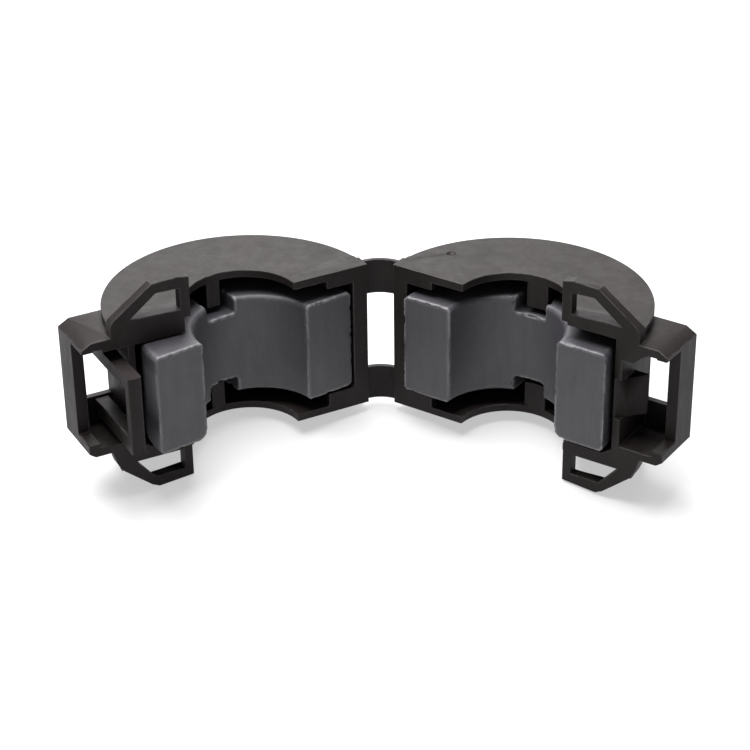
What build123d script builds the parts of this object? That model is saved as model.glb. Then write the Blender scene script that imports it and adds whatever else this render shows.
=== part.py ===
"""Split ring ferrite in a hinged nylon case, lying open in a V.

Two mirrored half shells are joined by two thin hinge straps. Each shell holds
one half ring of ferrite, a guard ring at its latch end, and a cable-tie loop
above and below. The left shell carries a springy latch loop, which snaps over
the wedge on the right shell when the halves close around a cable.

Units are millimetres. Z is the cable's direction, and the origin is the middle
of the left half's cable passage. Each half is drawn in its own frame first:
    X runs along the mating plane, from the hinge to the latch
    Y runs into the shell, away from the other half when closed
    Z is the cable's direction, from the middle of the case
"""
import math
import os
from build123d import *

# How far the clip stands open: each mating plane drops this far from world X
open_tilt = 31.2
closed_gap = 0.10

# Half ring of ferrite, and how far its near side stands from the hinge axis
core_hinge_side = 3.7
core_outer_radius = 12.5
core_bore_radius = 6.6
core_height = 11.7
core_chamfer = 0.35
core_slot_width = 3.7
core_slot_depth = 1.85
core_slot_shift = 0.28
core_corner_round = 1.3
core_corner_reach = 2.6

# How each core sits in its shell while the clip is open
left_core_tilt = 8.1
right_core_proud = 1.07

# Case: two round end plates and the wall between them, drawn around the core
core_clearance = 0.8
wall_thickness = 1.5
plate_overhang = 0.2
plate_shift = 0.5
plate_thickness = 0.9
end_room = 1.9
notch_lip = 0.5
wall_edge_inset = 0.3
hinge_edge = 1.6

# Flat side wall at the latch end, and the lips around the mouth of the shell
side_clearance = 0.5
side_wall_thickness = 0.85
mouth_depth = 0.9
mouth_above_core_left = 0.2
mouth_above_core_right = 1.55
mouth_below_core = 0.7
hinge_pad_end = 6.6
hinge_pad_depth = 1.6
hinge_pad_top_drop = 0.95
hinge_pad_bottom_rise = 1.5

# Plastic that locates the core
tab_width_left = 1.65
tab_width_right = 2.55
tab_depth = 0.9
tab_slot_gap = 0.12
tab_floor_gap = 0.7
rib_width = 0.8
rib_gap = 0.15
rib_angles = (40, 90, 140)
ledge_width = 0.9
ledge_length = 3.2
ledge_angles = (25, 62, 118, 155)

# Guard ring at the latch end, reaching out from the side wall
ring_reach = 5.15
ring_depth = 6.6
ring_wall = 0.95
ring_side_wall = 1.3
ring_top_inset = 1.15
ring_bottom_inset = 2.5
ring_chamfer_x = 1.15
ring_chamfer_z = 0.65
ring_foot_x = 0.7
ring_foot_z = 0.5
ring_back_wall = 0.8
ring_window_low = -2.2
ring_window_high = 3.5
ring_setback = 3.0
ring_setback_above = 1.55
ring_setback_below = 1.1

# Small webs under the ring's top: reach from the side wall, and drop from the ring's top
gusset_left = ((2.85, 1.4), (-0.4, 1.4))
gusset_right = ((3.65, 0.67), (2.55, 1.2), (2.0, 1.63), (1.25, 2.35), (-0.4, 2.4))

# Cable-tie loops, drawn as plates in the mating plane
loop_thickness = 1.2
loop_span = 7.35
loop_rise = 3.95
loop_drop = 3.2
loop_corner_inset = 3.15
loop_shoulder_reach = 1.45
loop_bar_top = 1.15
loop_bar_bottom = 1.0
loop_cap = 1.3
loop_foot = 1.4
loop_step = 0.7

# Latch: wedge on the right shell, springy loop on the left
wedge_low = -2.0
wedge_high = 2.7
wedge_reach = 1.7
wedge_depth = 3.0
wedge_crest_flat = 0.15
latch_clearance = 0.45
latch_snap_gap = 0.2
latch_wall_gap = 0.4
latch_thickness = 1.55
latch_post = 1.2
latch_top_bar = 1.6
latch_bottom_bar = 1.9

# Hinge straps
strap_thickness = 0.5
strap_depth = 1.0
strap_height = 4.0
strap_bite = 0.25

# Sizes that follow from the ones above
core_half = core_height / 2
core_centre = core_hinge_side + core_outer_radius
inside_height = core_half + end_room
half_height = inside_height + plate_thickness
cavity_radius = core_outer_radius + core_clearance
wall_outer_radius = cavity_radius + wall_thickness
plate_radius = wall_outer_radius + plate_overhang
plate_centre = core_centre + plate_shift
notch_radius = core_bore_radius - notch_lip
side_wall_inner = core_centre + core_outer_radius + side_clearance
side_wall_outer = side_wall_inner + side_wall_thickness
ring_outer = side_wall_outer + ring_reach
ring_inner = ring_outer - ring_side_wall
ring_top = half_height - ring_top_inset
ring_bottom = -half_height + ring_bottom_inset
loop_inner_edge = side_wall_outer - loop_span
loop_corner = side_wall_outer - loop_corner_inset
loop_shoulder = side_wall_outer + loop_shoulder_reach
loop_top = half_height + loop_rise
loop_bottom = -half_height - loop_drop
wedge_crest = side_wall_outer + wedge_reach
window_low = wedge_low - latch_clearance
window_high = wedge_high + latch_clearance
latch_reach = wedge_depth + closed_gap + latch_snap_gap + latch_post
hinge_place = Pos(
    plate_centre * math.cos(math.radians(open_tilt)),
    plate_centre * math.sin(math.radians(open_tilt)),
    0,
)


def block(x, y, z):
    """A box from its low and high limits along each axis."""
    size = [high - low for low, high in (x, y, z)]
    middle = [(high + low) / 2 for low, high in (x, y, z)]
    return Pos(*middle) * Box(*size)


def front_plate(points, y_low, y_high, rounding=0.0):
    """A flat plate parallel to the mating plane, from (x, z) points."""
    outline = make_face(Polyline(*points, close=True))
    if rounding:
        outline = fillet(outline.vertices(), rounding)
    return Pos(0, y_high, 0) * (Plane.XZ * extrude(outline, y_high - y_low))


def level_prism(points, z_low, z_high):
    """A prism along Z, from (x, y) points."""
    return Pos(0, 0, z_low) * extrude(make_face(Polyline(*points, close=True)), z_high - z_low)


def inner_half():
    """Everything on the shell's side of the mating plane."""
    span = 4 * plate_radius
    return block((-span, span), (0, span), (-span, span))


def end_plate(z_low):
    return Pos(plate_centre, 0, z_low + plate_thickness / 2) * Cylinder(plate_radius, plate_thickness)


def cavity():
    """The room for the core, inside the wall and between the end plates."""
    room = Pos(plate_centre, 0, 0) * Cylinder(cavity_radius, 2 * inside_height)
    return room & block((0, side_wall_inner), (-plate_radius, plate_radius), (-half_height, half_height))


def round_wall():
    """The curved wall with its flat at the latch end and its lip at the hinge."""
    wall = Pos(plate_centre, 0, 0) * Cylinder(wall_outer_radius, 2 * (half_height - wall_edge_inset))
    wall = wall & block((hinge_edge, side_wall_outer), (0, plate_radius), (-half_height, half_height))
    lip = block((hinge_edge, plate_centre - cavity_radius), (0, 2 * strap_depth), (-half_height, half_height))
    return wall + lip


def hinge_pads():
    """Low steps under and over the core, next to the hinge."""
    x = (plate_centre - cavity_radius - 0.2, hinge_pad_end)
    y = (0, hinge_pad_depth)
    top = block(x, y, (inside_height - hinge_pad_top_drop, inside_height + 0.1))
    bottom = block(x, y, (-inside_height - 0.1, -inside_height + hinge_pad_bottom_rise))
    return top + bottom


def mouth_band(above_core):
    """The deeper front edge of the end plates, next to the latch."""
    x = (loop_inner_edge + loop_step, side_wall_outer)
    top = block(x, (0, mouth_depth), (core_half + above_core, half_height))
    bottom = block(x, (0, mouth_depth), (-half_height, -core_half - mouth_below_core))
    return top + bottom


def slot_tabs(width, slot_shift):
    """Tabs at the middle of the notch, which stand in the core's end slots."""
    x_high = core_centre + slot_shift + core_slot_width / 2 - tab_slot_gap
    x = (x_high - width, x_high)
    y = (notch_radius - 0.1, notch_radius + tab_depth)
    floor = core_half - core_slot_depth + tab_floor_gap
    return block(x, y, (floor, inside_height + 0.1)) + block(x, y, (-inside_height - 0.1, -floor))


def back_ribs():
    """Slim upright ribs on the wall, which the seated core backs on to."""
    reach = core_outer_radius + rib_gap
    ribs = Part()
    for angle in rib_angles:
        rib = block((reach, wall_outer_radius), (-rib_width / 2, rib_width / 2), (-inside_height, inside_height))
        ribs += Pos(core_centre, 0, 0) * Rot(0, 0, angle) * rib
    limit = Pos(plate_centre, 0, 0) * Cylinder(cavity_radius + wall_thickness / 3, 2 * half_height)
    return ribs & limit


def end_ledges():
    """Short radial ledges on both end plates, which centre the core in height."""
    start = core_outer_radius - ledge_length
    top = inside_height + 0.1
    ledges = Part()
    for angle in ledge_angles:
        arm = block((start, core_outer_radius - 0.2), (-ledge_width / 2, ledge_width / 2),
                    (core_half + rib_gap, top))
        placed = Pos(core_centre, 0, 0) * Rot(0, 0, angle) * (arm + mirror(arm, Plane.XY))
        ledges += placed
    return ledges


def guard_ring(gusset_edge):
    """The box around the latch, open at the mating plane."""
    outline = [
        (side_wall_outer - 0.4, ring_top),
        (ring_outer - ring_chamfer_x, ring_top),
        (ring_outer, ring_top - ring_chamfer_z),
        (ring_outer, ring_bottom + ring_foot_z),
        (ring_outer - ring_foot_x, ring_bottom),
        (side_wall_outer - 0.4, ring_bottom),
    ]
    ring = front_plate(outline, 0, ring_depth)
    hollow = [
        (side_wall_outer, ring_top - ring_wall),
        (ring_outer - ring_chamfer_x - 0.1, ring_top - ring_wall),
        (ring_inner, ring_top - ring_wall - ring_chamfer_z),
        (ring_inner, ring_bottom + ring_wall + ring_foot_z),
        (ring_outer - ring_foot_x - 0.4, ring_bottom + ring_wall),
        (side_wall_outer, ring_bottom + ring_wall),
    ]
    ring -= front_plate(hollow, -1, ring_depth - ring_back_wall)
    ring -= block((side_wall_outer, ring_inner), (-1, ring_depth + 1), (ring_window_low, ring_window_high))
    setback = (ring_bottom + ring_setback_above, ring_top - ring_setback_below)
    ring -= block((ring_inner - 0.5, ring_outer + 1), (-1, ring_setback), setback)
    web = [(side_wall_outer + reach, ring_top - drop) for reach, drop in gusset_edge]
    web += [(web[-1][0], ring_top - 0.1), (web[0][0], ring_top - 0.1)]
    return ring + front_plate(web, 0, mouth_depth)


def tie_loops():
    """Both cable-tie loops with their windows."""
    top_outline = [
        (loop_inner_edge, inside_height),
        (loop_inner_edge, loop_top - 0.15),
        (loop_inner_edge + 1.2, loop_top + 0.1),
        (loop_corner, loop_top),
        (loop_shoulder, half_height + 0.7),
        (loop_shoulder + 0.4, half_height),
        (loop_shoulder + 0.4, ring_top - 0.3),
        (side_wall_outer - 2.0, inside_height),
    ]
    top_window = [
        (loop_inner_edge + loop_bar_top, half_height + 0.2),
        (loop_inner_edge + loop_bar_top, loop_top - loop_cap),
        (loop_corner - 0.4, loop_top - loop_cap + 0.1),
        (loop_shoulder - 1.9, half_height + 0.4),
    ]
    top = front_plate(top_outline, 0, loop_thickness) - front_plate(top_window, -1, loop_thickness + 0.4)
    bottom_outline = [
        (loop_inner_edge + loop_step, -core_half - mouth_below_core),
        (loop_inner_edge + loop_step, loop_bottom + 0.3),
        (loop_corner + 0.6, loop_bottom),
        (loop_corner + 1.3, loop_bottom + 0.35),
        (side_wall_outer + 1.4, -half_height - 0.1),
        (side_wall_outer + 2.1, -half_height + 1.0),
        (side_wall_outer + 2.6, ring_bottom + 0.2),
        (side_wall_outer - 0.4, ring_bottom + 0.5),
        (side_wall_outer - 2.0, -core_half - mouth_below_core),
    ]
    bottom = front_plate(bottom_outline, 0, loop_thickness)
    return top + bottom


def bottom_loop_window():
    points = [
        (loop_inner_edge + loop_step + loop_bar_bottom, -half_height + 0.55),
        (loop_inner_edge + loop_step + loop_bar_bottom, loop_bottom + loop_foot),
        (loop_corner + 1.0, loop_bottom + loop_foot),
        (loop_shoulder - 1.5, -half_height + 0.6),
    ]
    return front_plate(points, -1, loop_thickness + 0.02)


def wedge_opening():
    """The corner of the side wall that the wedge's slope takes away."""
    return block((side_wall_inner - 0.1, wedge_crest), (-1, wedge_depth - 0.1), (wedge_low, wedge_high))


def latch_wedge():
    """The wedge that the latch loop snaps over; its slope starts inside the side wall."""
    points = [
        (side_wall_inner, 0.0),
        (wedge_crest, wedge_depth - wedge_crest_flat),
        (wedge_crest, wedge_depth),
        (side_wall_inner, wedge_depth),
    ]
    return level_prism(points, wedge_low, wedge_high)


def latch_loop():
    """The springy frame that reaches past the mating plane from the ring's back wall."""
    back = ring_depth - ring_back_wall
    inner = side_wall_outer + latch_wall_gap
    outer = inner + latch_thickness
    frame = block((inner, outer), (-latch_reach, back),
                  (window_low - latch_bottom_bar, window_high + latch_top_bar))
    window = block((inner - 1, outer + 1), (-latch_reach + latch_post, back + 1),
                   (window_low, window_high))
    tip = frame.edges().filter_by(Axis.Z).sort_by(Axis.Y)[:2]
    return fillet(tip, 0.35) - window


def notch_corner():
    """Trims the bottom plate back to the edge of the tie loop beside it."""
    x = (plate_centre, loop_inner_edge + loop_step)
    return block(x, (-1, loop_thickness), (-half_height - 1, -inside_height + 0.2))


def half_shell(above_core, gusset_edge, tab_width, slot_shift):
    shell = round_wall() + end_plate(-half_height) + end_plate(half_height - plate_thickness)
    shell -= cavity()
    shell += hinge_pads() + mouth_band(above_core) + slot_tabs(tab_width, slot_shift)
    shell += (back_ribs() + end_ledges()) & inner_half()
    shell &= inner_half()
    shell -= Pos(plate_centre, 0, 0) * Cylinder(notch_radius, 3 * half_height)
    shell -= notch_corner()
    shell += guard_ring(gusset_edge)
    shell += tie_loops()
    shell -= bottom_loop_window()
    return shell


def half_core(slot_shift):
    core = Pos(core_centre, 0, 0) * (Cylinder(core_outer_radius, core_height)
                                     - Cylinder(core_bore_radius, core_height + 1))
    core &= inner_half()
    rims = core.edges().filter_by(GeomType.CIRCLE)
    core = chamfer(rims, core_chamfer)
    slot_middle = core_centre + slot_shift
    slot = block((slot_middle - core_slot_width / 2, slot_middle + core_slot_width / 2),
                 (0, plate_radius), (core_half - core_slot_depth, core_half + 1))
    core -= slot + mirror(slot, Plane.XY)
    corner_x = core_centre + core_bore_radius
    corner = block((corner_x - 0.5, corner_x + core_corner_round), (-0.5, core_corner_reach),
                   (-core_half - 0.5, -core_half + core_corner_round))
    keep = Pos(corner_x + core_corner_round, 1, -core_half + core_corner_round) * (
        Rot(90, 0, 0) * Cylinder(core_corner_round, 4 * core_corner_reach))
    return core - (corner - keep)


def place(shape, side):
    """From the half's own frame to the open clip: side is -1 for left, 1 for right."""
    shifted = Pos(0, closed_gap / 2, 0) * shape
    if side < 0:
        shifted = mirror(shifted, Plane.YZ)
    return hinge_place * Rot(0, 0, -side * open_tilt) * shifted


def hinge_strap(z_middle):
    """A thin strap that arches behind the hinge axis, from one shell to the other."""
    start = Vector(hinge_edge, strap_depth + closed_gap / 2).rotate(Axis.Z, -open_tilt)
    tangent = Vector(-1, 0).rotate(Axis.Z, -open_tilt)
    mirrored = Vector(-start.X, start.Y)
    bite = Vector(1, 0).rotate(Axis.Z, -open_tilt) * strap_bite
    arch = TangentArc((start.X, start.Y), (mirrored.X, mirrored.Y), tangent=(tangent.X, tangent.Y))
    right = Line((start.X + bite.X, start.Y + bite.Y), (start.X, start.Y))
    left = Line((mirrored.X, mirrored.Y), (mirrored.X - bite.X, mirrored.Y + bite.Y))
    band = trace(Curve() + [right, arch, left], strap_thickness)
    return hinge_place * Pos(0, 0, z_middle - strap_height / 2) * extrude(band, strap_height)


def main():
    os.makedirs("parts", exist_ok=True)
    left_shell = half_shell(mouth_above_core_left, gusset_left, tab_width_left, core_slot_shift)
    right_shell = half_shell(mouth_above_core_right, gusset_right, tab_width_right, -core_slot_shift)
    right_shell = right_shell - wedge_opening() + latch_wedge()

    tilt = Pos(core_hinge_side, 0, 0) * Rot(0, 0, -left_core_tilt) * Pos(-core_hinge_side, 0, 0)
    turned = tilt * half_core(core_slot_shift)
    proud = Pos(0, -right_core_proud, 0) * half_core(-core_slot_shift)

    upper_strap = hinge_strap(half_height - strap_height / 2)
    lower_strap = hinge_strap(-half_height + strap_height / 2)
    left_half = place(left_shell, -1) - (upper_strap + lower_strap)
    right_half = place(right_shell, 1) - (upper_strap + lower_strap)

    parts = {
        "case_half_left": left_half,
        "case_half_right": right_half,
        "hinge_strap_upper": upper_strap,
        "hinge_strap_lower": lower_strap,
        "latch_loop": place(latch_loop(), -1),
        "ferrite_half_left": place(turned, -1),
        "ferrite_half_right": place(proud, 1),
    }
    for name, shape in parts.items():
        export_step(shape, f"parts/{name}.step")


main()
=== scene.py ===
# %% [markdown]
# # A clip-on ferrite bead, lying open
#
# The object is a ring of ferrite, split in two, in a black nylon case with a living hinge. Closed
# round a cable, the ring soaks up the electrical noise that the cable would carry.
# The measured solids come in as a fixed frame. This script gives them soft moulded edges, worn
# ferrite, finishes, a table, light and a camera. Lengths are written in millimetres and turned
# into metres by one constant, because a small moulding is easier to think about in millimetres.

# %% The frame and its size
import math

import bmesh
import bpy
import numpy as np
from mathutils import Matrix, Vector, noise


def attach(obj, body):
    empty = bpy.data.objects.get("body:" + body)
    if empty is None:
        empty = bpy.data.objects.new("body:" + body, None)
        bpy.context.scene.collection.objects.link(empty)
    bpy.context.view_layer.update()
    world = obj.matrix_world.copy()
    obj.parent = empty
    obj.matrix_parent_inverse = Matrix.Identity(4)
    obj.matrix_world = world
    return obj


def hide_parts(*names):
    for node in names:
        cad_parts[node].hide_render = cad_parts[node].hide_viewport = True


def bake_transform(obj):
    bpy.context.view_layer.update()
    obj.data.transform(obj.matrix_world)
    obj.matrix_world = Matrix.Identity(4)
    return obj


MM = 0.001
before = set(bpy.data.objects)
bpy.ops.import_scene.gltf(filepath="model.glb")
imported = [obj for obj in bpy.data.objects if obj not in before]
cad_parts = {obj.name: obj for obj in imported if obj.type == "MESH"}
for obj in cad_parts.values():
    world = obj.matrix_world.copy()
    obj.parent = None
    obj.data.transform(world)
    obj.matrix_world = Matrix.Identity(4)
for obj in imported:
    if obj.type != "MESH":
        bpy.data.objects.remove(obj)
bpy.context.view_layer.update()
print("frame nodes:", sorted(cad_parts))

# %% [markdown]
# ## Where things are
#
# Each half of the clip has its own directions: along the mating plane from hinge to latch, into
# the shell, and up. A mark that is measured on one half is then placed with three plain numbers.
# The other way is to type world coordinates, which hide that both halves are the same shape.
# Heights count from the middle of the case, and the round plates end 8.65 mm above and below it.

# %% Directions of the two halves
OPEN_TILT = math.radians(31.2)
HINGE = Vector((14.2845, 8.6511, 0.0))
HINGE_TO_LATCH = 35.2
PLATE_TOP = 8.65


def on_half(side, along, into, up):
    """A point in metres, from millimetres in a half's own directions. side: -1 left, 1 right."""
    x = HINGE.x + side * (along * math.cos(OPEN_TILT) + into * math.sin(OPEN_TILT))
    y = HINGE.y - along * math.sin(OPEN_TILT) + into * math.cos(OPEN_TILT)
    return Vector((x, y, up)) * MM


for side_name, side in (("left", -1), ("right", 1)):
    print(side_name, "latch end in metres:", [round(v, 4) for v in on_half(side, HINGE_TO_LATCH, 0, 0)])

# %% [markdown]
# ## The camera
#
# The photograph was taken from about 24 cm with a long lens, looking down by 29 degrees. The place
# and turn of the camera come from fitting the case's known circles and corners to the picture. A
# near camera with a wide lens would show the same object with other proportions, so the distance
# matters as much as the angle.

# %% Camera
CAMERA_PLACE = Vector((25.03, -207.89, 116.20))
CAMERA_YAW = math.radians(-3.037)
CAMERA_PITCH = math.radians(29.33)
CAMERA_ROLL = math.radians(-0.735)
LENS = 106.13
FILM_WIDTH = 36.0
NEAREST_SEEN = 1.0
FARTHEST_SEEN = 20000.0

forward = Vector((math.sin(CAMERA_YAW) * math.cos(CAMERA_PITCH),
                  math.cos(CAMERA_YAW) * math.cos(CAMERA_PITCH),
                  -math.sin(CAMERA_PITCH)))
level_right = Vector((math.cos(CAMERA_YAW), -math.sin(CAMERA_YAW), 0.0))
level_up = level_right.cross(forward)
camera_right = level_right * math.cos(CAMERA_ROLL) + level_up * math.sin(CAMERA_ROLL)
camera_up = level_up * math.cos(CAMERA_ROLL) - level_right * math.sin(CAMERA_ROLL)

camera = bpy.data.objects.new("camera", bpy.data.cameras.new("camera"))
bpy.context.scene.collection.objects.link(camera)
camera.data.sensor_width = FILM_WIDTH
camera.data.lens = LENS
camera.data.clip_start = NEAREST_SEEN * MM
camera.data.clip_end = FARTHEST_SEEN * MM
turn = Matrix((camera_right, camera_up, -forward)).transposed().to_4x4()
camera.matrix_world = Matrix.Translation(CAMERA_PLACE * MM) @ turn
bpy.context.scene.camera = camera
print("camera looks along", [round(v, 3) for v in forward])

# %% [markdown]
# ## Small helpers for node materials
#
# A finish is a small graph of nodes. Naming the common steps once keeps each finish readable: the
# start of a finish, the patterns, and what turns a pattern into a colour or a bump. Every pattern
# is measured in object coordinates, so a grain has a true size and stays on the surface when the
# clip closes. An image wrapped round each piece would need seams and would blur close up.

# %% The start of a finish
def new_finish(name):
    """A material with its shader, and the coordinates its patterns are measured in."""
    finish = bpy.data.materials.new(name)
    finish.use_nodes = True
    tree = finish.node_tree
    tree.nodes.clear()
    output = tree.nodes.new("ShaderNodeOutputMaterial")
    shader = tree.nodes.new("ShaderNodeBsdfPrincipled")
    tree.links.new(shader.outputs["BSDF"], output.inputs["Surface"])
    place = tree.nodes.new("ShaderNodeTexCoord").outputs["Object"]
    return finish, tree, shader, place


def plug(tree, source, socket):
    """Joins an output to an input, or sets the input when source is a plain value."""
    if isinstance(source, bpy.types.NodeSocket):
        tree.links.new(source, socket)
    else:
        socket.default_value = source


print("a finish can be started, and its sockets filled")

# %% Patterns
def stretched(tree, place, scale):
    """The coordinates scaled along each axis, for a grain that runs one way."""
    node = tree.nodes.new("ShaderNodeMapping")
    tree.links.new(place, node.inputs["Vector"])
    node.inputs["Scale"].default_value = scale
    return node.outputs["Vector"]


def noise_of(tree, place, size_mm, detail=3.0, roughness=0.55):
    """A noise from 0 to 1, whose features are about size_mm across."""
    node = tree.nodes.new("ShaderNodeTexNoise")
    tree.links.new(place, node.inputs["Vector"])
    node.inputs["Scale"].default_value = 1.0 / (size_mm * MM)
    node.inputs["Detail"].default_value = detail
    node.inputs["Roughness"].default_value = roughness
    return node.outputs["Fac"]


def cells_of(tree, place, size_mm):
    """The distance to the nearest of many scattered points, for pits and specks."""
    node = tree.nodes.new("ShaderNodeTexVoronoi")
    tree.links.new(place, node.inputs["Vector"])
    node.inputs["Scale"].default_value = 1.0 / (size_mm * MM)
    return node.outputs["Distance"]


print("patterns to choose from: a noise and cells, plain or stretched")

# %% From patterns to colours and bumps
def remap(tree, value, low, high, to_low=0.0, to_high=1.0):
    """Stretches the range from low to high over the range from to_low to to_high."""
    node = tree.nodes.new("ShaderNodeMapRange")
    node.clamp = True
    plug(tree, value, node.inputs["Value"])
    for name, number in (("From Min", low), ("From Max", high), ("To Min", to_low), ("To Max", to_high)):
        node.inputs[name].default_value = number
    return node.outputs["Result"]


def mixed(tree, amount, first, second):
    """One colour turning into another as amount goes from 0 to 1."""
    node = tree.nodes.new("ShaderNodeMix")
    node.data_type = "RGBA"
    plug(tree, amount, node.inputs[0])
    plug(tree, first, node.inputs[6])
    plug(tree, second, node.inputs[7])
    return node.outputs[2]


def times(tree, first, second):
    """The product of two numbers, each a pattern or a plain value."""
    node = tree.nodes.new("ShaderNodeMath")
    node.operation = "MULTIPLY"
    plug(tree, first, node.inputs[0])
    plug(tree, second, node.inputs[1])
    return node.outputs[0]


def bumped(tree, height, depth_mm, under=None):
    """A normal that follows height, whose full range is depth_mm deep."""
    node = tree.nodes.new("ShaderNodeBump")
    node.inputs["Distance"].default_value = depth_mm * MM
    tree.links.new(height, node.inputs["Height"])
    if under is not None:
        tree.links.new(under, node.inputs["Normal"])
    return node.outputs["Normal"]


print("patterns can now tint a surface or dent it")

# %% [markdown]
# ## Black nylon
#
# The case is moulded in black nylon. It isn't quite black: the flat faces have a fine spark-eroded
# grain that scatters the light, with cloudy patches where the melt flowed, and a few specks of
# dust. Noise at three sizes does this: several millimetres for the flow, one or two for a smear
# that runs up the walls, and a sixth of a millimetre for the tool's texture.
# Thin edges are rubbed a little paler. They get a second finish of their own, which the bevel
# lays on the rounds it makes. Finding the edges from the curvature that the shading sees takes
# less work, but it leaves streaks on long thin triangles.

# %% Nylon
NYLON_DEEP = (0.0080, 0.0058, 0.0054, 1.0)
NYLON_CLOUDY = (0.0165, 0.0126, 0.0126, 1.0)
NYLON_RUBBED = (0.060, 0.054, 0.056, 1.0)
NYLON_DUST = (0.10, 0.095, 0.095, 1.0)
NYLON_FLOW = 6.0
NYLON_SMEAR = 1.4
NYLON_GRAIN = 0.16
DUST_SPACING = 0.9


def make_nylon(name, rubbed_paler):
    """The case's finish. rubbed_paler: how much of the paler tone shows, from 0 to 1."""
    finish, tree, shader, place = new_finish(name)
    flow = noise_of(tree, place, NYLON_FLOW, detail=4.0, roughness=0.6)
    grain = noise_of(tree, place, NYLON_GRAIN, detail=2.0, roughness=0.6)
    upward = stretched(tree, place, (1.0, 1.0, 0.25))
    smear = noise_of(tree, upward, NYLON_SMEAR, detail=5.0, roughness=0.7)
    colour = mixed(tree, remap(tree, flow, 0.30, 0.72), NYLON_DEEP, NYLON_CLOUDY)
    dust = remap(tree, cells_of(tree, place, DUST_SPACING), 0.035, 0.09, 1.0, 0.0)
    colour = mixed(tree, times(tree, dust, 0.35), colour, NYLON_DUST)
    rubbed = times(tree, rubbed_paler, remap(tree, smear, 0.40, 0.62, 0.1, 1.0))
    colour = mixed(tree, rubbed, colour, NYLON_RUBBED)
    plug(tree, colour, shader.inputs["Base Color"])
    plug(tree, remap(tree, smear, 0.25, 0.75, 0.42, 0.60), shader.inputs["Roughness"])
    shader.inputs["IOR"].default_value = 1.53
    shader.inputs["Specular IOR Level"].default_value = 0.15
    fine = bumped(tree, grain, 0.012)
    plug(tree, bumped(tree, smear, 0.020, fine), shader.inputs["Normal"])
    return finish


nylon = make_nylon("black_nylon", 0.0)
nylon_edge = make_nylon("black_nylon_rubbed_edge", 0.7)
print("nylon nodes:", len(nylon.node_tree.nodes), "and at the edges:", len(nylon_edge.node_tree.nodes))

# %% [markdown]
# ## Ferrite
#
# Sintered ferrite is a hard grey ceramic, ground flat where the two halves meet. It is slate grey
# with a faint violet cast. Its edges chip and rub to a paler grey, so the paler tone has to follow
# the edges. The mesh stores how near each point is to an edge, and the finish reads that number;
# guessing edges from the shading alone misses the soft ones.

# %% Ferrite
FERRITE_DARK = (0.0245, 0.0225, 0.0275, 1.0)
FERRITE_PALE = (0.037, 0.0345, 0.041, 1.0)
FERRITE_GRAIN_TONE = (0.049, 0.046, 0.054, 1.0)
FERRITE_PIT_PAINTED_SHADE = (0.014, 0.013, 0.015, 1.0)
FERRITE_WORN = (0.150, 0.145, 0.155, 1.0)
FERRITE_PATCH = 4.5
FERRITE_SCUFF = 0.9
FERRITE_GRAIN = 0.22
PIT_SPACING = 0.55
WEAR_NAME = "edge_wear"


def make_ferrite():
    """The half rings' finish, paler where the mesh says that it is worn."""
    finish, tree, shader, place = new_finish("sintered_ferrite")
    patch = noise_of(tree, place, FERRITE_PATCH, detail=4.0, roughness=0.6)
    grain = noise_of(tree, place, FERRITE_GRAIN, detail=3.0, roughness=0.7)
    upward = stretched(tree, place, (1.0, 1.0, 0.18))
    scuff = noise_of(tree, upward, FERRITE_SCUFF, detail=6.0, roughness=0.75)
    body = mixed(tree, remap(tree, patch, 0.3, 0.7), FERRITE_DARK, FERRITE_PALE)
    body = mixed(tree, remap(tree, grain, 0.35, 0.75, 0.0, 0.5), body, FERRITE_GRAIN_TONE)
    pits = remap(tree, cells_of(tree, place, PIT_SPACING), 0.05, 0.16, 1.0, 0.0)
    # Painted shade: each pit is tinted darker for the shade inside it, besides the dent of the bump.
    body = mixed(tree, times(tree, pits, 0.45), body, FERRITE_PIT_PAINTED_SHADE)
    wear_node = tree.nodes.new("ShaderNodeAttribute")
    wear_node.attribute_name = WEAR_NAME
    wear = times(tree, wear_node.outputs["Fac"], remap(tree, scuff, 0.40, 0.58, 0.05, 1.0))
    body = mixed(tree, wear, body, FERRITE_WORN)
    plug(tree, body, shader.inputs["Base Color"])
    plug(tree, remap(tree, scuff, 0.2, 0.8, 0.44, 0.66), shader.inputs["Roughness"])
    shader.inputs["IOR"].default_value = 1.6
    fine = bumped(tree, grain, 0.016)
    rough = bumped(tree, scuff, 0.015, fine)
    plug(tree, bumped(tree, pits, -0.025, rough), shader.inputs["Normal"])
    return finish


ferrite = make_ferrite()
print("ferrite nodes:", len(ferrite.node_tree.nodes))

# %% [markdown]
# ## Copies of the solids
#
# The frame's solids stay as they are, and each visible piece starts as a copy of one. A solid comes
# as many small triangles. Where they lie in one plane they are merged, so that an edge of the mesh
# is a real edge of the moulding and not a seam between two triangles. Modelling each piece again by
# hand would give neat faces too, but it could drift away from the measured sizes.

# %% Clean copies
WELD = 0.004
ONE_PLANE = math.radians(0.6)


def clean_copy(node, piece_name):
    """A copy of a solid's mesh as its own piece, with coplanar triangles merged."""
    piece = bpy.data.objects.new(piece_name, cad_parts[node].data.copy())
    bpy.context.scene.collection.objects.link(piece)
    shape = bmesh.new()
    shape.from_mesh(piece.data)
    bmesh.ops.remove_doubles(shape, verts=shape.verts, dist=WELD * MM)
    bmesh.ops.dissolve_limit(shape, angle_limit=ONE_PLANE, verts=shape.verts, edges=shape.edges)
    shape.to_mesh(piece.data)
    shape.free()
    piece.data.materials.clear()
    return piece


for node in ("case_half_left", "case_half_right", "latch_loop"):
    print(node, "comes with", len(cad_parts[node].data.polygons), "triangles")

# %% [markdown]
# ## A mould mark
#
# The round plate on the right has one small round dent near the hinge, such as an ejector pin
# leaves. A ball that sits a little way into the plate is cut out of it, with a boolean. A bump in
# the finish could show the dent too, but it would be missing from the mesh.
# The boolean hands back its points in an order that changes from run to run. They are sorted by
# place, each with the normals that shade it, so that the result is the same every time.

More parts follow.
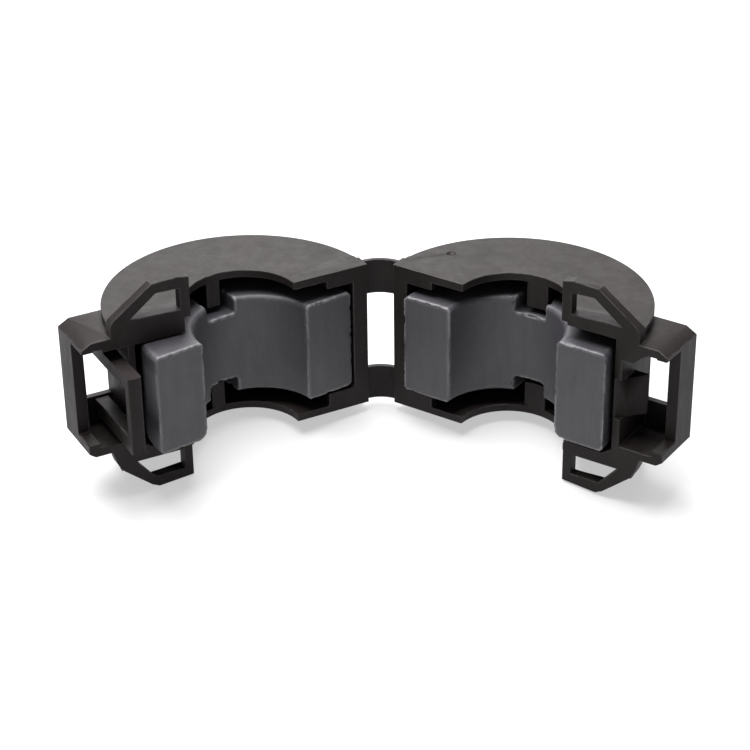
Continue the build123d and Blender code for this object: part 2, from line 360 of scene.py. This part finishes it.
# %% The dent
DIMPLE_RADIUS = 0.55
DIMPLE_DEPTH = 0.22
DIMPLE_BALL = (DIMPLE_RADIUS ** 2 + DIMPLE_DEPTH ** 2) / (2 * DIMPLE_DEPTH)


def in_fixed_order(mesh):
    """The same mesh and normals, with the points and faces sorted by place."""
    places = [tuple(round(v / MM, 4) for v in point.co) for point in mesh.vertices]
    order = sorted(range(len(places)), key=lambda index: places[index])
    new_index = {old: new for new, old in enumerate(order)}
    faces = []
    for face in mesh.polygons:
        corners = [new_index[old] for old in face.vertices]
        normals = [mesh.corner_normals[loop].vector for loop in face.loop_indices]
        first = corners.index(min(corners))
        faces.append((corners[first:] + corners[:first], normals[first:] + normals[:first]))
    faces.sort(key=lambda face: face[0])
    ordered = bpy.data.meshes.new("in_fixed_order")
    ordered.from_pydata([mesh.vertices[old].co for old in order], [],
                        [corners for corners, normals in faces], shade_flat=False)
    ordered.normals_split_custom_set([normal for corners, normals in faces for normal in normals])
    return ordered


def ejector_dimple(piece, centre):
    """Cuts a shallow round dent into a level face, at a centre on that face."""
    shape = bmesh.new()
    bmesh.ops.create_uvsphere(shape, u_segments=40, v_segments=64, radius=DIMPLE_BALL * MM)
    mesh = bpy.data.meshes.new("dimple_ball")
    shape.to_mesh(mesh)
    shape.free()
    ball = bpy.data.objects.new("dimple_ball", mesh)
    ball.location = centre + Vector((0, 0, DIMPLE_BALL - DIMPLE_DEPTH)) * MM
    bpy.context.scene.collection.objects.link(ball)
    cut = piece.modifiers.new("dimple", "BOOLEAN")
    cut.operation = "DIFFERENCE"
    cut.solver = "EXACT"
    cut.object = ball
    bpy.context.view_layer.update()
    depsgraph = bpy.context.evaluated_depsgraph_get()
    dented = bpy.data.meshes.new_from_object(piece.evaluated_get(depsgraph))
    piece.data = in_fixed_order(dented)
    piece.modifiers.clear()
    bpy.data.objects.remove(ball)


print("a ball of radius", round(DIMPLE_BALL, 2), "mm leaves a dent", 2 * DIMPLE_RADIUS, "mm wide")

# %% [markdown]
# ## Moulded edges
#
# A moulding has no knife edges: each corner is rounded by about a tenth of a millimetre, and that
# round is what catches the light along every rim. A bevel rounds each edge sharper than 30 degrees
# and gives the round its rubbed finish. Rounding every edge in the solid model would give the same
# look at many times the faces.
# A bevel can tear a wide face with many corners, so such faces are first cut into triangles. It
# also needs room: where two corners are closer than the round is wide, their edges stay sharp.

# %% Which edges to round
SHARP_ANGLE = math.radians(30)
CROWDED_BELOW = 2.3


def mark_edges_to_round(piece, width_mm):
    """Cuts wide faces into triangles and weights the sharp edges, but none at a crowded corner."""
    shape = bmesh.new()
    shape.from_mesh(piece.data)
    many_sided = [face for face in shape.faces if len(face.verts) > 4]
    bmesh.ops.triangulate(shape, faces=many_sided, quad_method="BEAUTY", ngon_method="BEAUTY")
    weight = shape.edges.layers.float.new("bevel_weight_edge")
    for edge in shape.edges:
        if len(edge.link_faces) == 2 and edge.calc_face_angle(0.0) > SHARP_ANGLE:
            edge[weight] = 1.0
    room = CROWDED_BELOW * width_mm * MM
    crowded = [v for v in shape.verts if any(e.calc_length() < room for e in v.link_edges)]
    for corner in crowded:
        for edge in corner.link_edges:
            edge[weight] = 0.0
    kept = sum(1 for edge in shape.edges if edge[weight] > 0.5)
    shape.to_mesh(piece.data)
    shape.free()
    print(piece.name, "edges to round:", kept, "and crowded corners:", len(crowded))


print("edges sharper than", round(math.degrees(SHARP_ANGLE)), "degrees will be rounded")

# %% The round itself
SMOOTH_ANGLE = math.radians(28)
LEVEL = 0.999
ROUND_SEGMENTS = 2


def smooth_by_angle(piece, angle):
    """Smooth shading up to an angle. Level faces stay flat, so no dent can tint them."""
    for face in piece.data.polygons:
        face.use_smooth = abs(face.normal.z) < LEVEL
    piece.data.set_sharp_from_angle(angle=angle)


def round_edges(piece, width_mm):
    """Rounds the marked edges, and gives the rounds the piece's second finish."""
    mark_edges_to_round(piece, width_mm)
    bevel = piece.modifiers.new("moulded_edges", "BEVEL")
    bevel.width = width_mm * MM
    bevel.segments = ROUND_SEGMENTS
    bevel.limit_method = "WEIGHT"
    bevel.use_clamp_overlap = False
    bevel.harden_normals = True
    bevel.material = 1


print("each round is", ROUND_SEGMENTS, "faces wide")

# %% [markdown]
# ## The shells and the latch loop
#
# The two shells are rigid, and each rides on its half of the clip. The latch loop springs out over
# the wedge on the real clip, but it hangs on the left shell and stays with it, so it rides too.
# Bending it by the hinge's angle is possible, but it springs out and back within a few degrees.

# %% Shells and latch loop
SHELL_ROUND = 0.11
LATCH_ROUND = 0.13
DIMPLE_PLACE = on_half(1, 5.55, 5.75, PLATE_TOP)


def moulded(node, piece_name, body, width_mm, dimple_at=None):
    """A dressed nylon piece that takes a solid's place and rides on a body."""
    piece = clean_copy(node, piece_name)
    if dimple_at is not None:
        ejector_dimple(piece, dimple_at)
    smooth_by_angle(piece, SMOOTH_ANGLE)
    round_edges(piece, width_mm)
    piece.data.materials.append(nylon)
    piece.data.materials.append(nylon_edge)
    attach(piece, body)
    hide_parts(node)
    print(piece_name, "faces before rounding:", len(piece.data.polygons))


moulded("case_half_left", "case_shell_left", "left_half", SHELL_ROUND)
moulded("case_half_right", "case_shell_right", "right_half", SHELL_ROUND, dimple_at=DIMPLE_PLACE)
moulded("latch_loop", "snap_latch", "left_half", LATCH_ROUND)

# %% [markdown]
# ## Hinge straps
#
# Two thin straps are all that joins the halves. They bend when the clip closes, so each one is
# split across its length into narrow bands. A strap that only rode on one half would tear away
# from the other.

# %% Straps
STRAP_CUTS = 9
STRAP_BAND = 0.22
STRAP_SMOOTH_ANGLE = math.radians(40)


def hinge_strap(node, piece_name):
    """A strap cut into narrow bands across its length."""
    piece = clean_copy(node, piece_name)
    shape = bmesh.new()
    shape.from_mesh(piece.data)
    middle = HINGE.x * MM
    for step in range(-STRAP_CUTS, STRAP_CUTS + 1):
        cut_at = Vector((middle + step * STRAP_BAND * MM, 0, 0))
        bmesh.ops.bisect_plane(shape, geom=shape.verts[:] + shape.edges[:] + shape.faces[:],
                               plane_co=cut_at, plane_no=Vector((1, 0, 0)))
    shape.to_mesh(piece.data)
    shape.free()
    smooth_by_angle(piece, STRAP_SMOOTH_ANGLE)
    piece.data.materials.append(nylon)
    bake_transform(piece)
    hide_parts(node)
    print(piece_name, "faces:", len(piece.data.polygons))


hinge_strap("hinge_strap_upper", "living_hinge_upper")
hinge_strap("hinge_strap_lower", "living_hinge_lower")

# %% [markdown]
# ## Even faces for the ferrite
#
# The half rings are ground flat where they meet, and their outer edges chip in handling. Chips
# need small even faces to cut into, so each half ring is remeshed on a fine grid. The grid is
# turned square to the ground faces, because a plane that crosses a grid at a slant comes out
# rippled. Subdividing the copy instead would keep its long thin triangles.

# %% A remeshed copy
FERRITE_FACE = 0.155


def even_faces(piece, face_turn):
    """Remeshes a piece. face_turn squares its ground faces to the grid, so that they stay flat."""
    square_to_grid = Matrix.Rotation(face_turn, 4, "Z")
    piece.data.transform(square_to_grid)
    remesh = piece.modifiers.new("even_faces", "REMESH")
    remesh.mode = "VOXEL"
    remesh.voxel_size = FERRITE_FACE * MM
    depsgraph = bpy.context.evaluated_depsgraph_get()
    mesh = bpy.data.meshes.new_from_object(piece.evaluated_get(depsgraph))
    piece.modifiers.clear()
    piece.data = mesh
    mesh.transform(square_to_grid.inverted())
    return mesh


def point_vectors(mesh, name):
    """One stored vector for each point of a mesh, as the rows of an array."""
    values = np.zeros(len(mesh.vertices) * 3, np.float32)
    mesh.vertices.foreach_get(name, values)
    return values.reshape(-1, 3)


print("the ferrite gets faces", FERRITE_FACE, "mm wide")

# %% [markdown]
# ## Where the ferrite wears
#
# Edges that stick out wear, and inner corners don't. Each edge of the mesh knows how far the
# surface turns between its two ends, and whether it opens outwards there. The larger that turn,
# the more the point is worn. Averaging each point with its neighbours softens the rim of the wear.
# Painting the wear by hand would do as well, but nobody could repeat it exactly.

# %% Wear of each point
FULL_WEAR_TURN = 0.16
WEAR_FLOOR = 0.1


def wear_of_points(mesh, points, normals):
    """From 0 on flat and hollow places to 1 on the sharpest edges that stick out."""
    ends = np.zeros(len(mesh.edges) * 2, np.int32)
    mesh.edges.foreach_get("vertices", ends)
    start, end = ends.reshape(-1, 2).T
    opening = ((normals[end] - normals[start]) * (points[end] - points[start])).sum(1)
    turned = 1.0 - (normals[start] * normals[end]).sum(1)
    turned[opening < 0] = 0.0
    most_turned = np.zeros(len(points))
    np.maximum.at(most_turned, start, turned)
    np.maximum.at(most_turned, end, turned)
    wear = np.clip(most_turned / FULL_WEAR_TURN - WEAR_FLOOR, 0, 1)
    total = wear.copy()
    counted = np.ones(len(points))
    for here, there in ((start, end), (end, start)):
        np.add.at(total, here, wear[there])
        np.add.at(counted, here, 1)
    return total / counted


full_wear_angle = math.acos(1.0 - (1.0 + WEAR_FLOOR) * FULL_WEAR_TURN)
print("an edge is fully worn where it turns by", round(math.degrees(full_wear_angle)), "degrees")

# %% [markdown]
# ## Chips
#
# Worn points are pushed in along their normals by a noise. A slow noise that counts only where it
# is high gives a few deep chips, and a quick one gives small nicks everywhere along the edge. A
# bevel would be quicker, but it leaves edges that are too even for a ceramic.

# %% Depth of the chips
CHIPS_PER_MM = 0.9
CHIP_ABOVE = 0.18
CHIP_DEPTH = 0.55
NICKS_PER_MM = 3.1
NICK_DEPTH = 0.10
WORN_ENOUGH = 0.02
WEAR_TO_DEPTH = 1.6


def chip_depths(points, wear):
    """How deep each worn point is pushed in, in millimetres: small nicks, and a few deep chips."""
    depth = np.zeros(len(points))
    for index in np.nonzero(wear > WORN_ENOUGH)[0]:
        spot = Vector(points[index]) / MM
        chip = max(0.0, noise.noise(spot * CHIPS_PER_MM) - CHIP_ABOVE) * CHIP_DEPTH
        nick = max(0.0, noise.noise(spot * NICKS_PER_MM)) * NICK_DEPTH
        depth[index] = min(1.0, wear[index] * WEAR_TO_DEPTH) * (chip + nick)
    return depth


print("no chip is deeper than", round((1.0 - CHIP_ABOVE) * CHIP_DEPTH + NICK_DEPTH, 2), "mm")

# %% [markdown]
# ## Ferrite halves
#
# The wear is stored on the mesh, where the finish finds it and paints it paler. Each half ring sits
# loose in its shell and moves a little as the clip closes, so each rides on a body of its own.
# Riding on the shells would leave the left one tipped after the clip has closed.

# %% Worn ferrite
CORE_TILT = math.radians(8.1)
WEAR_SHOWN = 1.2


def worn_ferrite(node, piece_name, body, face_turn):
    """A half ring with chipped and rubbed edges, which rides on a body of its own."""
    piece = clean_copy(node, piece_name)
    mesh = even_faces(piece, face_turn)
    points = point_vectors(mesh, "co")
    normals = point_vectors(mesh, "normal")
    wear = wear_of_points(mesh, points, normals)
    depth = chip_depths(points, wear)
    points -= normals * (depth * MM)[:, None].astype(np.float32)
    mesh.vertices.foreach_set("co", points.reshape(-1))
    attribute = mesh.attributes.new(WEAR_NAME, "FLOAT", "POINT")
    attribute.data.foreach_set("value", np.clip(wear * WEAR_SHOWN, 0, 1).astype(np.float32))
    for face in mesh.polygons:
        face.use_smooth = True
    mesh.update()
    mesh.materials.clear()
    mesh.materials.append(ferrite)
    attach(piece, body)
    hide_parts(node)
    print(piece_name, "points:", len(points), "deepest chip in mm:", round(float(depth.max()), 2))


worn_ferrite("ferrite_half_left", "ferrite_core_left", "core_left", -OPEN_TILT - CORE_TILT)
worn_ferrite("ferrite_half_right", "ferrite_core_right", "core_right", OPEN_TILT)

# %% [markdown]
# ## The table
#
# The clip lies open on a white table, on its two lower tie loops and the back edge of its round
# end plates, so it leans by about 9.6 degrees. The frame stays square to the clip, and the table
# is tilted under it. Tilting the clip instead would move the measured solids.
# The table glows a little, as a light table does. That keeps it white right across the picture
# and its shadows pale; more lamps would do the same, but they would wash out the black nylon.

# %% Table
BACK_TOUCH = Vector((0.0, HINGE.y + 6.19, -PLATE_TOP))
FRONT_TOUCH = Vector((0.0, HINGE.y - 11.05, -11.55))
TABLE_GAP = 0.02
TABLE_HALF_WIDTH = 3000.0
TABLE_DARK = (0.30, 0.30, 0.30, 1.0)
TABLE_PALE = (0.32, 0.32, 0.32, 1.0)
TABLE_CLOUD = 60.0
TABLE_GLOW = 0.5

lean = math.atan2(BACK_TOUCH.z - FRONT_TOUCH.z, BACK_TOUCH.y - FRONT_TOUCH.y)
table_up = Vector((0.0, -math.sin(lean), math.cos(lean)))


def make_table():
    """A wide pale table under the clip, tilted to touch it at the back and the front."""
    finish, tree, shader, place = new_finish("white_table")
    cloud = noise_of(tree, place, TABLE_CLOUD)
    plug(tree, mixed(tree, cloud, TABLE_DARK, TABLE_PALE), shader.inputs["Base Color"])
    shader.inputs["Roughness"].default_value = 0.6
    shader.inputs["Emission Color"].default_value = (1.0, 1.0, 1.0, 1.0)
    shader.inputs["Emission Strength"].default_value = TABLE_GLOW
    shape = bmesh.new()
    bmesh.ops.create_grid(shape, x_segments=8, y_segments=8, size=TABLE_HALF_WIDTH * MM)
    mesh = bpy.data.meshes.new("table")
    shape.to_mesh(mesh)
    shape.free()
    table = bpy.data.objects.new("table", mesh)
    bpy.context.scene.collection.objects.link(table)
    table.rotation_euler = (lean, 0, 0)
    table.location = (BACK_TOUCH - table_up * TABLE_GAP) * MM
    mesh.materials.append(finish)


make_table()
print("table leans by", round(math.degrees(lean), 2), "degrees")

# %% [markdown]
# ## Light
#
# Soft light comes from above and a little from the left, and a weaker one from behind draws the
# rims, as in a light tent. A white surround fills the hollows. Large discs of light give the
# photograph's soft shadows; small lamps would give hard ones with sharp edges.

# %% Lamps and surround
CLIP_MIDDLE = (14.3, 0.0, 0.0)
TENT_FILL = 0.3


def soft_light(name, place_mm, size_mm, power):
    """A round lamp that faces the middle of the clip."""
    lamp = bpy.data.lights.new(name, "AREA")
    lamp.shape = "DISK"
    lamp.size = size_mm * MM
    lamp.energy = power
    holder = bpy.data.objects.new(name, lamp)
    bpy.context.scene.collection.objects.link(holder)
    holder.location = Vector(place_mm) * MM
    away = (Vector(place_mm) - Vector(CLIP_MIDDLE)) * MM
    holder.rotation_mode = "QUATERNION"
    holder.rotation_quaternion = away.to_track_quat("Z", "Y")


soft_light("tent_top", (-70, 40, 420), 420, 6.0)
soft_light("tent_back", (-40, 420, 250), 360, 1.15)

world = bpy.data.worlds.new("tent")
world.use_nodes = True
world.node_tree.nodes["Background"].inputs["Color"].default_value = (1.0, 1.0, 1.0, 1.0)
world.node_tree.nodes["Background"].inputs["Strength"].default_value = TENT_FILL
bpy.context.scene.world = world
bpy.context.scene.view_settings.view_transform = "Standard"
